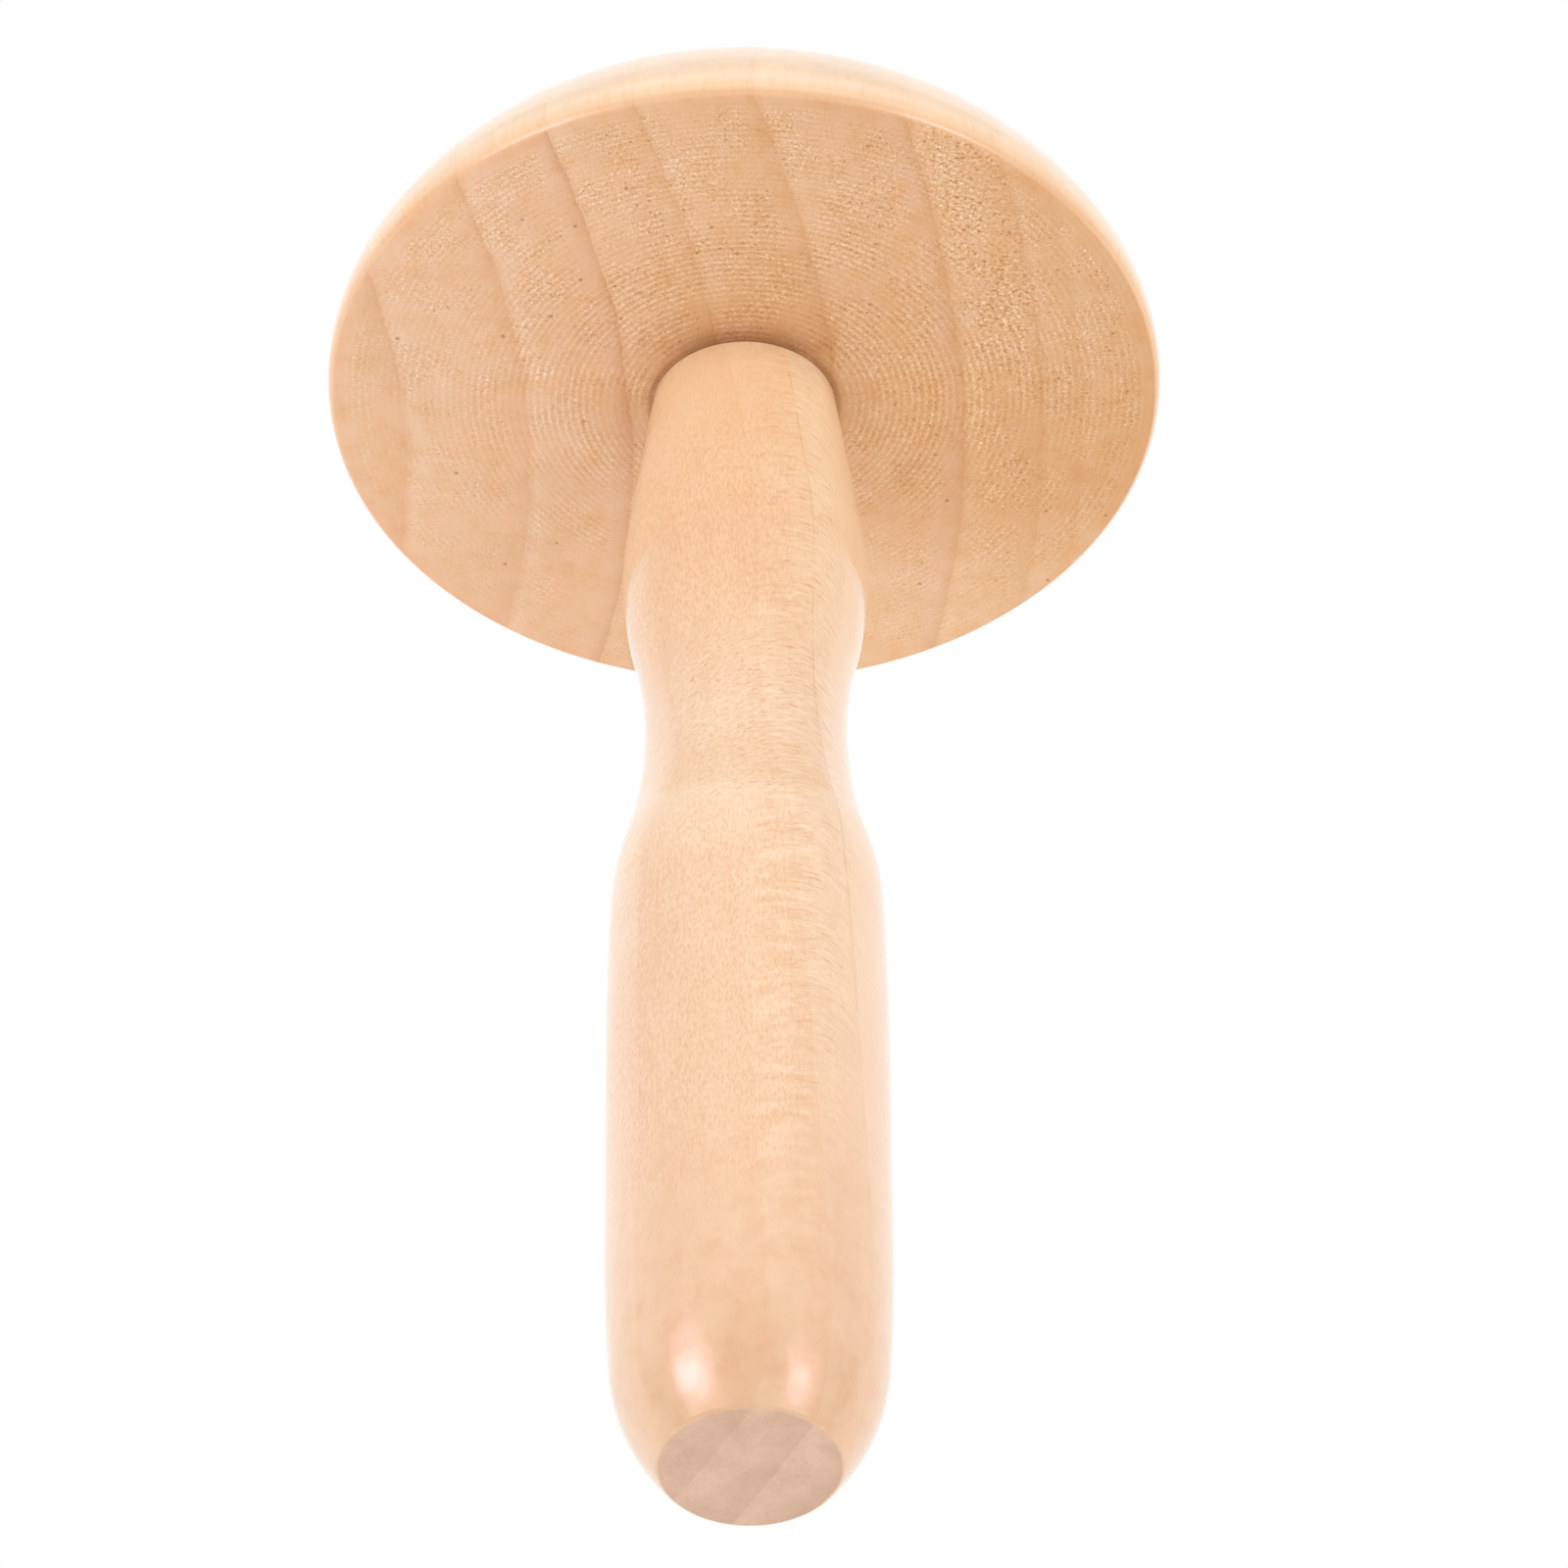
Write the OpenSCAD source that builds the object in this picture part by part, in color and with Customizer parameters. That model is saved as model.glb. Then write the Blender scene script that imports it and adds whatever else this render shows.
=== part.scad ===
// Darning mushroom, turned from two pieces of wood and standing on the flat end of its handle.
// Millimetres. The origin is the centre of that flat end, and +Z runs up the turning axis to the cap.
// Outlines are lists of [radius, height]. An arc's angles are those of its outward normal above level.

/* [Cap] */
// Diameter across the widest line of the cap's edge
cap_d = 75.6; // [64:0.1:100]
// Height of the widest line above the corner of the underside
widest_h = 1.5; // [1.2:0.1:3]
// Radius of the side below the widest line
low_side_r = 3.5; // [2.5:0.1:8]
// Radius that eases the corner between the side and the underside
rim_edge_r = 0.8; // [0.3:0.1:1.2]
// Radius of the side above the widest line
side_r = 7.5; // [4:0.1:12]
// Slope at which the side runs into the shoulder, in degrees
side_angle = 22; // [12:1:32]
// Radius of the shoulder between the side and the crown
shoulder_r = 23.5; // [14:0.5:36]
// Slope at which the shoulder runs into the crown, in degrees
crown_angle = 45; // [38:1:55]
// How far the middle of the underside stands proud of the rim
underside_rise = 0.9; // [0:0.1:3]
// Width of the flat left on the underside round the neck
seat_margin = 0.8; // [0.2:0.1:4]

/* [Handle] */
// Length from the flat end to the shoulder that seats on the cap
handle_len = 123.9; // [116:0.1:160]
// Diameter of the flat end
end_flat_d = 14.7; // [10:0.1:17]
// Radius that eases the edge of the flat end
end_edge_r = 0.7; // [0.3:0.1:2]
// Radius of the rounded nose above the flat end
nose_r = 18.4; // [16:0.1:26]
// Slope at which the nose runs into its long ease, in degrees
nose_angle = 3.7; // [1:0.1:5]
// Radius of the long ease between the nose and the grip
nose_ease_r = 200; // [100:1:260]
// Diameter of the grip
grip_d = 24.3; // [22:0.1:28]
// Height at which the straight grip ends
grip_top = 44.2; // [36:0.1:52]
// Radius of the long ease at the top of the grip
grip_ease_r = 530; // [300:1:700]
// Slope at which that ease runs into the grip's shoulder, in degrees
grip_ease_angle = 1.9; // [0.5:0.1:2.4]
// Diameter of the waist
waist_d = 17.8; // [15:0.1:20]
// Height of the waist
waist_h = 82.6; // [78:0.1:88]
// Radius of the hollow below the waist, as so many times that of the shoulder it meets
low_hollow_ratio = 1.75; // [0.5:0.05:3]
// Radius of the hollow above the waist, as so many times that of the swelling it meets
high_hollow_ratio = 1.15; // [0.5:0.05:3]
// Diameter of the swelling under the cap
bulge_d = 21.8; // [19:0.1:25]
// Height of the swelling
bulge_h = 101.1; // [97:0.1:106]
// Radius of the swelling's upper side
bulge_top_r = 41; // [20:0.5:42]
// Diameter of the neck where it seats on the cap
neck_d = 16.5; // [14:0.1:19]
// Radius that eases the edge of the neck
neck_edge_r = 0.4; // [0.2:0.1:1]

/* [Glued joint] */
// Diameter of the tenon turned on the handle
tenon_d = 10; // [6:0.1:12]
// Length of the tenon above the neck's shoulder
tenon_len = 14; // [8:0.1:17]
// Chamfer on the tenon's end
tenon_chamfer = 1; // [0.3:0.1:2]
// Thickness of glue between the tenon and the socket's wall
glue_gap = 0.15; // [0.05:0.01:0.3]
// Gap left above the tenon for spare glue
socket_spare = 1; // [0.2:0.1:3]
// Chamfer at the socket's mouth
mouth_chamfer = 0.5; // [0.2:0.1:1]
// Point angle of the drill that bored the socket, in degrees
drill_angle = 118; // [90:1:150]

/* [Hidden] */
$fn = 128;
right_angle = 90;
half_turn = 180;
// Longest straight stretch between two points of an arc
arc_step = 1.2;
arc_min_steps = 4;
// Points nearer than this are one point
point_gap = 0.001;
// Length by which a cutting tool overshoots the face that it cuts
overshoot = 1;
cap_color = [0.89, 0.72, 0.55];
handle_color = [0.97, 0.80, 0.62];
glue_color = [0.93, 0.88, 0.74];

// Where the handle seats on the cap, and the corner plane of the cap's rim
seat_z = handle_len;
rim_z = seat_z + underside_rise;
seat_r = neck_d / 2 + seat_margin;

// Centres of the cap's arcs, from the rim to the crown, each tangent to the one before
low_side_c = [cap_d / 2 - low_side_r, rim_z + widest_h];
low_tilt = -asin((widest_h - rim_edge_r) / (low_side_r - rim_edge_r));
rim_edge_c = low_side_c + (low_side_r - rim_edge_r) * toward(low_tilt);
side_c = [cap_d / 2 - side_r, rim_z + widest_h];
shoulder_c = side_c - (shoulder_r - side_r) * toward(side_angle);
crown_r = shoulder_r + shoulder_c.x / cos(crown_angle);
crown_c = shoulder_c - (crown_r - shoulder_r) * toward(crown_angle);

// Centres of the handle's arcs at the flat end, worked back from the grip
end_edge_c = [end_flat_d / 2, end_edge_r];
nose_c_r = grip_d / 2 - nose_ease_r + (nose_ease_r - nose_r) * cos(nose_angle);
end_tilt = -acos((end_edge_c.x - nose_c_r) / (nose_r - end_edge_r));
nose_c = end_edge_c - (nose_r - end_edge_r) * toward(end_tilt);
nose_ease_c = nose_c - (nose_ease_r - nose_r) * toward(-nose_angle);

// The handle's form from the grip to the neck
grip_ease_c = [grip_d / 2 - grip_ease_r, grip_top];
shoulder_point = grip_ease_c + grip_ease_r * toward(grip_ease_angle);
waist_point = [waist_d / 2, waist_h];
bulge_point = [bulge_d / 2, bulge_h];
bulge_top_c = bulge_point - bulge_top_r * toward(0);
neck_edge = [neck_d / 2, seat_z];
neck_way = neck_edge - bulge_top_c;
// Tilt of the straight run that leaves the swelling and heads for the neck's edge
neck_tilt = atan2(neck_way.y, neck_way.x) - acos(bulge_top_r / norm(neck_way));
neck_ease_c = [
    neck_edge.x - neck_edge_r * (1 - sin(neck_tilt)) / cos(neck_tilt),
    seat_z - neck_edge_r
];

// The tenon, and the socket in the cap that is sized from it
tenon_top = seat_z + tenon_len;
socket_r = tenon_d / 2 + glue_gap;
socket_depth = tenon_len + socket_spare;
drill_point_h = socket_r / tan(drill_angle / 2);

// Unit step in the direction of an angle
function toward(angle) = [cos(angle), sin(angle)];

// Radius of the round half of an ogee, which leaves start at a tilt and meets, halfway, a hollow
// that ends upright at end. The hollow's radius is ratio times the round's.
function ogee_round_r(start, tilt, end, ratio) =
    let (way = end - start)
    let (curl = 2 * ratio * (1 - cos(tilt)))
    let (pull = way.x * (ratio + cos(tilt)) + way.y * sin(tilt))
    way * way / (sqrt(pull * pull + curl * (way * way)) - pull);

// Points of an ogee, from start to end
function ogee(start, tilt, end, ratio) =
    let (round_r = ogee_round_r(start, tilt, end, ratio))
    let (round_c = start - round_r * toward(tilt))
    let (hollow_c = end + ratio * round_r * toward(0))
    let (meet = atan2(hollow_c.y - round_c.y, hollow_c.x - round_c.x))
    concat(arc(round_c, round_r, tilt, meet), arc(hollow_c, -ratio * round_r, meet, 0));

// Points along an arc from one angle to another. A hollow arc has its centre outside and a radius below 0.
function arc(centre, r, from, to) =
    let (arc_len = abs((to - from) * r) * PI / half_turn)
    let (steps = max(arc_min_steps, ceil(arc_len / arc_step)))
    [for (i = [0:steps]) centre + r * toward(from + (to - from) * i / steps)];

// Points in the opposite order
function reversed(points) = [for (i = [len(points) - 1:-1:0]) points[i]];

// Distance from a point to the one before it
function step_to(points, i) = norm(points[i] - points[i - 1]);

// The same points without repeats where two arcs meet
function no_repeats(points) =
    [for (i = [0:len(points) - 1]) if (i == 0 || step_to(points, i) > point_gap) points[i]];

cap_outline = no_repeats(concat(
    [[0, seat_z], [seat_r, seat_z]],
    arc(rim_edge_c, rim_edge_r, -right_angle, low_tilt),
    arc(low_side_c, low_side_r, low_tilt, 0),
    arc(side_c, side_r, 0, side_angle),
    arc(shoulder_c, shoulder_r, side_angle, crown_angle),
    arc(crown_c, crown_r, crown_angle, right_angle)
));

tenon_outline = [
    [tenon_d / 2, seat_z],
    [tenon_d / 2, tenon_top - tenon_chamfer],
    [tenon_d / 2 - tenon_chamfer, tenon_top],
    [0, tenon_top]
];

handle_outline = no_repeats(concat(
    [[0, 0]],
    arc(end_edge_c, end_edge_r, -right_angle, end_tilt),
    arc(nose_c, nose_r, end_tilt, -nose_angle),
    arc(nose_ease_c, nose_ease_r, -nose_angle, 0),
    arc(grip_ease_c, grip_ease_r, 0, grip_ease_angle),
    ogee(shoulder_point, grip_ease_angle, waist_point, low_hollow_ratio),
    reversed(ogee(bulge_point, 0, waist_point, high_hollow_ratio)),
    arc(bulge_top_c, bulge_top_r, 0, neck_tilt),
    arc(neck_ease_c, neck_edge_r, neck_tilt, right_angle),
    tenon_outline
));

// The bored wall of the socket and its countersunk mouth, up to a height above the seat
module bored_space(height) {
    translate([0, 0, seat_z])
        cylinder(r = socket_r, h = height);
    translate([0, 0, seat_z])
        cylinder(r1 = socket_r + mouth_chamfer, r2 = socket_r, h = mouth_chamfer);
}

// The whole socket, with the cone that the drill's point leaves
module socket() {
    bored_space(socket_depth);
    translate([0, 0, seat_z + socket_depth])
        cylinder(r1 = socket_r, r2 = 0, h = drill_point_h);
    translate([0, 0, seat_z - overshoot])
        cylinder(r = socket_r + mouth_chamfer, h = overshoot);
}

module cap() {
    color(cap_color)
        difference() {
            rotate_extrude()
                polygon(cap_outline);
            socket();
        }
}

module handle() {
    color(handle_color)
        rotate_extrude()
            polygon(handle_outline);
}

// Glue that fills the socket round the tenon, up to the tenon's chamfer
module glue_film() {
    color(glue_color)
        difference() {
            bored_space(tenon_len - tenon_chamfer);
            translate([0, 0, seat_z - overshoot])
                cylinder(d = tenon_d, h = tenon_len + overshoot);
        }
}

cap();
handle();
glue_film();
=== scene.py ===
# Darning mushroom: the looks of its two turned pieces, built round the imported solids.
# Metres. The origin is the centre of the handle's flat end and +Z runs up the turning axis to the cap.
# Outlines are lists of (radius, height). An arc's angles are those of its outward normal above level.
import math

import bpy
from bpy.props import FloatProperty, FloatVectorProperty, IntProperty, PointerProperty
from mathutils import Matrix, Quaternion, Vector


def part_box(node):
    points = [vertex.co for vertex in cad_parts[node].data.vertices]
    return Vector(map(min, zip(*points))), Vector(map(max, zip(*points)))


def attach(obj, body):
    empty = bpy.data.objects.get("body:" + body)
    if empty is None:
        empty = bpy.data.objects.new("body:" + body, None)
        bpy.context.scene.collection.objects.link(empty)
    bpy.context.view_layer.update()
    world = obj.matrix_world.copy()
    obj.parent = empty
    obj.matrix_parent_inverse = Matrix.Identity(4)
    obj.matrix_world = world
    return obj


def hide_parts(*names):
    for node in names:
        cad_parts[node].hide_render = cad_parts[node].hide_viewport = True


bl_info = {
    "name": "Darning Mushroom",
    "version": (1, 0, 0),
    "blender": (4, 5, 0),
    "location": "View3D > Sidebar > Darning Mushroom",
    "description": "Turns a wooden darning mushroom from a cap and a handle, and sets its studio",
    "category": "Add Mesh",
}

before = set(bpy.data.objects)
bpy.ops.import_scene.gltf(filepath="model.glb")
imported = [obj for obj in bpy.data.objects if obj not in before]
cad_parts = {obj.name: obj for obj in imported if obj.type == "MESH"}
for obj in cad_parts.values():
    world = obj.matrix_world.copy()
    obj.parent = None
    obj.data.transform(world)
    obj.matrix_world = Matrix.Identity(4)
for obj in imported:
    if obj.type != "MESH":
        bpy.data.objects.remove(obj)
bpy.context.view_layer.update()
CAP_LOW, CAP_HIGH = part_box("cap")
HANDLE_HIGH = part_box("handle")[1]

MM = 0.001
BODY = "root"
# Longest stretch between two points of an outline, and the fewest stretches in an arc
OUTLINE_STEP = 0.5 * MM
ARC_MIN_STEPS = 5
# Points nearer than this are one point
POINT_GAP = 0.001 * MM
# Stretches of outline across one groove
STEPS_PER_GROOVE = 5
# Edges of a turned piece that are sharper than this are shaded as corners
CORNER = math.radians(32)
# Stretch over which the grooves set in and go out
GROOVE_FADE = 1.5 * MM
# Where the grooves are deep or shallow: patches in a metre, and how fast they change with the radius
GROOVE_PATCHES = 45.0
GROOVE_CHANGE = 3.0


def length(name, text, value):
    """A size that the user gives in length units."""
    return FloatProperty(name=name, description=text, default=value, min=0, unit="LENGTH", precision=5)


def angle(name, text, degrees):
    """A slope that the user gives as an angle."""
    return FloatProperty(name=name, description=text, default=math.radians(degrees), subtype="ANGLE")


def number(name, text, value, low=0.0, high=1.0):
    """A plain number within limits."""
    return FloatProperty(name=name, description=text, default=value, min=low, max=high)


def colour(name, text, value):
    """A colour, as linear red, green and blue."""
    return FloatVectorProperty(name=name, description=text, default=value, min=0, max=1, subtype="COLOR")


class CapSizes(bpy.types.PropertyGroup):
    """Sizes of the cap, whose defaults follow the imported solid."""

    diameter: length("Diameter", "Across the widest line of the cap's edge", 2 * CAP_HIGH.x)
    seat_height: length("Seat height", "Height at which the handle seats on the cap", CAP_LOW.z)
    seat_radius: length("Seat radius", "Radius of the flat left round the neck", 9.05 * MM)
    underside_rise: length("Underside rise", "How far the middle stands proud of the rim", 0.9 * MM)
    widest_height: length("Widest height", "Height of the widest line above the rim's corner", 1.5 * MM)
    low_side_radius: length("Low side radius", "Radius of the side below the widest line", 3.5 * MM)
    rim_edge_radius: length("Rim edge radius", "Radius that eases the rim's corner", 0.8 * MM)
    side_radius: length("Side radius", "Radius of the side above the widest line", 7.5 * MM)
    side_angle: angle("Side angle", "Slope at which the side runs into the shoulder", 22)
    shoulder_radius: length("Shoulder radius", "Radius between the side and the crown", 23.5 * MM)
    crown_angle: angle("Crown angle", "Slope at which the shoulder runs into the crown", 45)
    socket_radius: length("Socket radius", "Radius of the hole for the tenon", 5.15 * MM)
    socket_depth: length("Socket depth", "Depth of the hole's straight wall", 15 * MM)
    mouth_chamfer: length("Mouth chamfer", "Chamfer at the hole's mouth", 0.5 * MM)
    drill_angle: angle("Drill angle", "Point angle of the drill that bored the hole", 118)
    groove_pitch: length("Groove pitch", "How far the cutting tool moved in one turn", 0.635 * MM)
    groove_depth: length("Groove depth", "Depth of the tool's marks on the underside", 0.012 * MM)


class HandleSizes(bpy.types.PropertyGroup):
    """Sizes of the handle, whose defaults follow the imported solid."""

    neck_height: length("Neck height", "Height at which the handle seats on the cap", CAP_LOW.z)
    grip_diameter: length("Grip diameter", "Diameter of the grip", 2 * HANDLE_HIGH.x)
    end_flat_diameter: length("End flat diameter", "Diameter of the flat end", 14.7 * MM)
    end_edge_radius: length("End edge radius", "Radius that eases the edge of the flat end", 0.7 * MM)
    nose_radius: length("Nose radius", "Radius of the rounded nose above the flat end", 18.4 * MM)
    nose_angle: angle("Nose angle", "Slope at which the nose runs into its long ease", 3.7)
    nose_ease_radius: length("Nose ease radius", "Radius of that long ease", 200 * MM)
    grip_top: length("Grip top", "Height at which the straight grip ends", 44.2 * MM)
    grip_ease_radius: length("Grip ease radius", "Radius of the ease at the grip's top", 530 * MM)
    grip_ease_angle: angle("Grip ease angle", "Slope at which that ease runs into the shoulder", 1.9)
    waist_diameter: length("Waist diameter", "Diameter of the waist", 17.8 * MM)
    waist_height: length("Waist height", "Height of the waist", 82.6 * MM)
    low_hollow_ratio: number("Low hollow ratio", "Hollow's radius over its shoulder's", 1.75, 0.5, 3)
    high_hollow_ratio: number("High hollow ratio", "Hollow's radius over its swelling's", 1.15, 0.5, 3)
    bulge_diameter: length("Swelling diameter", "Diameter of the swelling", 21.8 * MM)
    bulge_height: length("Swelling height", "Height of the swelling", 101.1 * MM)
    bulge_top_radius: length("Swelling top radius", "Radius of its upper side", 41 * MM)
    neck_diameter: length("Neck diameter", "Diameter of the neck at the cap", 16.5 * MM)
    neck_edge_radius: length("Neck edge radius", "Radius that eases the neck's edge", 0.4 * MM)
    tenon_diameter: length("Tenon diameter", "Diameter of the tenon", 10 * MM)
    tenon_length: length("Tenon length", "Length of the tenon above the seat", 14 * MM)
    tenon_chamfer: length("Tenon chamfer", "Chamfer on the tenon's end", 1 * MM)


class WoodLook(bpy.types.PropertyGroup):
    """Colours and finish of the wood."""

    steps_around: IntProperty(
        name="Steps around", description="Faces round a turned piece", default=256, min=32, max=320
    )
    varnished: colour("Varnished handle", "Colour of the handle's wood under varnish", (0.885, 0.575, 0.36))
    # The cap's varnished colour is set paler than the handle's, as painted light on the rim's top
    varnished_cap: colour("Varnished cap", "Colour of the cap's wood under varnish", (0.92, 0.65, 0.42))
    underside: colour("Bare underside", "Colour of the bare wood under the cap", (0.84, 0.535, 0.335))
    end_face: colour("Bare end", "Colour of the bare wood on the flat end", (0.725, 0.485, 0.345))
    coat_roughness: number("Varnish roughness", "Roughness of the varnish", 0.11)


class StageLook(bpy.types.PropertyGroup):
    """The camera and the light."""

    camera_place: FloatVectorProperty(
        name="Camera place",
        description="Where the camera stands",
        default=(-0.000641, -0.629021, -0.510820),
        subtype="TRANSLATION",
        unit="LENGTH",
    )
    camera_aim: FloatVectorProperty(
        name="Camera aim",
        description="The point that the camera looks at",
        default=(0.003289, 0, 0.076833),
        subtype="TRANSLATION",
        unit="LENGTH",
    )
    camera_roll: angle("Camera roll", "Turn of the camera about its line of sight", -0.524)
    lens: FloatProperty(name="Lens", description="Focal length on a 36 mm sensor", default=226.041)
    ambient: number("Ambient light", "Strength of the even light from all round", 0.92, 0, 2)
    side_light: number("Side light", "Strength added towards the left and right", 0.12, 0, 2)
    softbox_power: number("Softbox power", "Power of each softbox, in watts", 0.8, 0, 50)
    softbox_glow: number("Softbox glow", "Strength of each softbox's wide soft mirror image", 3.4, 0, 50)
    top_power: number("Top power", "Power of the lamp overhead, in watts", 0.6, 0, 50)


class Value:
    """A number, vector, colour or mesh in a node tree. Plain arithmetic on it adds the nodes for it."""

    def __init__(self, tree, socket):
        self.tree, self.socket = tree, socket

    def math(self, operation, *others):
        """A sum on this and any others, worked out on vectors where this is one."""
        kind = "ShaderNodeVectorMath" if self.socket.type == "VECTOR" else "ShaderNodeMath"
        return self.tree.made(kind, (self, *others), operation=operation)

    def __add__(self, other):
        return self.math("ADD", other)

    __radd__ = __add__

    def __sub__(self, other):
        return self.math("SUBTRACT", other)

    def __rsub__(self, number):
        return self.tree.made("ShaderNodeMath", (number, self), operation="SUBTRACT")

    def __mul__(self, other):
        return self.math("MULTIPLY", other)

    def __truediv__(self, other):
        return self.math("DIVIDE", other)

    def __abs__(self):
        return self.math("ABSOLUTE")

    def length(self):
        """The length of a vector."""
        return self.tree.made("ShaderNodeVectorMath", (self,), "Value", operation="LENGTH")

    def parts(self):
        """The three numbers of a vector."""
        return self.tree.outputs("ShaderNodeSeparateXYZ", (self,)).values()

    def noise(self, scale, detail=2.0, roughness=0.5, distortion=0.0):
        """Uneven values from 0 to 1 at this place, mostly near the middle."""
        inputs = {"Vector": self, "Scale": scale, "Detail": detail, "Roughness": roughness}
        return self.tree.made("ShaderNodeTexNoise", {**inputs, "Distortion": distortion})

    def cells(self, scale):
        """The distance to the nearest of many scattered points, and that point's own number from 0 to 1."""
        cell = self.tree.outputs("ShaderNodeTexVoronoi", {"Vector": self, "Scale": scale}, feature="F1")
        red, _, _ = cell["Color"].parts()
        return cell["Distance"], red

    def rise(self, low, high, bottom=0.0, top=1.0):
        """A smooth rise from bottom to top as this goes from low to high."""
        inputs = (self, low, high, bottom, top)
        return self.tree.made("ShaderNodeMapRange", inputs, interpolation_type="SMOOTHSTEP")

    def between(self, start, full, fading, end):
        """1 from full to fading, with a smooth rise from start and a smooth fall to end."""
        return self.rise(start, full) * self.rise(end, fading)

    def ramp(self, *stops, interpolation="LINEAR"):
        """The colour of a ramp whose stops are (position, grey or colour)."""
        made = self.tree.node("ShaderNodeValToRGB", (self,))
        band = made.color_ramp
        band.interpolation = interpolation
        while len(band.elements) < len(stops):
            band.elements.new(1.0)
        for stop, (position, shade) in zip(band.elements, stops):
            stop.position = position
            shade = (shade,) * 3 if isinstance(shade, (int, float)) else shade
            stop.color = (*shade, 1)
        return Value(self.tree, made.outputs[0])

    def bump(self, strength, distance):
        """The way that a surface with this relief faces."""
        inputs = {"Height": self, "Strength": strength, "Distance": distance}
        return self.tree.made("ShaderNodeBump", inputs)


class Tree:
    """Adds nodes to one node tree and links them as they are made."""

    def __init__(self, tree):
        self.tree = tree

    def node(self, kind, inputs=(), **settings):
        """A new node with these settings, whose inputs take values by name or in their order."""
        made = self.tree.nodes.new(kind)
        for name, value in settings.items():
            setattr(made, name, value)
        named = inputs if isinstance(inputs, dict) else dict(enumerate(inputs))
        for name, value in named.items():
            self.feed(made.inputs[name], value)
        return made

    def feed(self, socket, value):
        """Links a socket to a value of the tree, or gives it a plain one."""
        if isinstance(value, Value):
            self.tree.links.new(value.socket, socket)
        else:
            socket.default_value = value

    def made(self, kind, inputs=(), output=0, **settings):
        """One output of a new node."""
        return Value(self, self.node(kind, inputs, **settings).outputs[output])

    def outputs(self, kind, inputs=(), **settings):
        """All outputs of a new node, by name."""
        made = self.node(kind, inputs, **settings)
        return {socket.name: Value(self, socket) for socket in made.outputs}

    def joined(self, x, y, z):
        """A vector of three numbers."""
        return self.made("ShaderNodeCombineXYZ", (x, y, z))

    def blend(self, factor, a, b, way="MIX"):
        """Two colours mixed by a factor."""
        a, b = ((*colour, 1) if isinstance(colour, tuple) else colour for colour in (a, b))
        inputs = {0: factor, 6: a, 7: b}
        return self.made("ShaderNodeMix", inputs, 2, data_type="RGBA", blend_type=way, clamp_result=False)

    def tinted(self, colour, *layers):
        """A colour under layers of (tint, amount), each of which multiplies it by its tint."""
        for tint, amount in layers:
            colour = self.blend(amount, colour, tint, "MULTIPLY")
        return colour


def highest(first, *others):
    """The largest of some values."""
    for other in others:
        first = first.math("MAXIMUM", other)
    return first


def toward(tilt):
    """Unit step in the direction of an angle."""
    return Vector((math.cos(tilt), math.sin(tilt)))


def arc(centre, radius, start, end):
    """Points along an arc. A hollow arc has its centre outside and a radius below 0."""
    steps = max(ARC_MIN_STEPS, math.ceil(abs((end - start) * radius) / OUTLINE_STEP))
    return [centre + radius * toward(start + (end - start) * i / steps) for i in range(steps + 1)]


def run(start, end, step):
    """Points along a straight stretch."""
    steps = max(1, math.ceil((end - start).length / step))
    return [start.lerp(end, i / steps) for i in range(steps + 1)]


def ogee_round_radius(start, tilt, end, ratio):
    """Radius of the round half of an ogee whose hollow half has ratio times that radius."""
    way = end - start
    curl = 2 * ratio * (1 - math.cos(tilt))
    pull = way.x * (ratio + math.cos(tilt)) + way.y * math.sin(tilt)
    return way.length_squared / (math.sqrt(pull * pull + curl * way.length_squared) - pull)


def ogee(start, tilt, end, ratio):
    """Points that leave start round at a tilt and end hollow and upright."""
    radius = ogee_round_radius(start, tilt, end, ratio)
    round_centre = start - radius * toward(tilt)
    hollow_centre = end + ratio * radius * toward(0)
    way = hollow_centre - round_centre
    meet = math.atan2(way.y, way.x)
    return arc(round_centre, radius, tilt, meet) + arc(hollow_centre, -ratio * radius, meet, 0)


def no_repeats(points):
    """The same points without repeats where two arcs meet."""
    kept = [points[0]]
    for point in points[1:]:
        if (point - kept[-1]).length > POINT_GAP:
            kept.append(point)
    return kept


def cap_outline(sizes):
    """Outline of the cap, from the bottom of its socket round the rim to the crown."""
    seat, rim = sizes.seat_height, sizes.seat_height + sizes.underside_rise
    widest = rim + sizes.widest_height
    low_side = Vector((sizes.diameter / 2 - sizes.low_side_radius, widest))
    spare = sizes.low_side_radius - sizes.rim_edge_radius
    low_tilt = -math.asin((sizes.widest_height - sizes.rim_edge_radius) / spare)
    rim_edge = low_side + spare * toward(low_tilt)
    side = Vector((sizes.diameter / 2 - sizes.side_radius, widest))
    shoulder = side - (sizes.shoulder_radius - sizes.side_radius) * toward(sizes.side_angle)
    crown_radius = sizes.shoulder_radius + shoulder.x / math.cos(sizes.crown_angle)
    crown = shoulder - (crown_radius - sizes.shoulder_radius) * toward(sizes.crown_angle)
    bottom = seat + sizes.socket_depth
    point = sizes.socket_radius / math.tan(sizes.drill_angle / 2)
    wall = sizes.socket_radius
    under_step = sizes.groove_pitch / STEPS_PER_GROOVE
    rim_corner = Vector((rim_edge.x, rim_edge.y - sizes.rim_edge_radius))
    return no_repeats(
        [Vector((0, bottom + point)), Vector((wall, bottom))]
        + [Vector((wall, seat + sizes.mouth_chamfer)), Vector((wall + sizes.mouth_chamfer, seat))]
        + run(Vector((sizes.seat_radius, seat)), rim_corner, under_step)
        + arc(rim_edge, sizes.rim_edge_radius, -math.pi / 2, low_tilt)
        + arc(low_side, sizes.low_side_radius, low_tilt, 0)
        + arc(side, sizes.side_radius, 0, sizes.side_angle)
        + arc(shoulder, sizes.shoulder_radius, sizes.side_angle, sizes.crown_angle)
        + arc(crown, crown_radius, sizes.crown_angle, math.pi / 2)
    )


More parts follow.
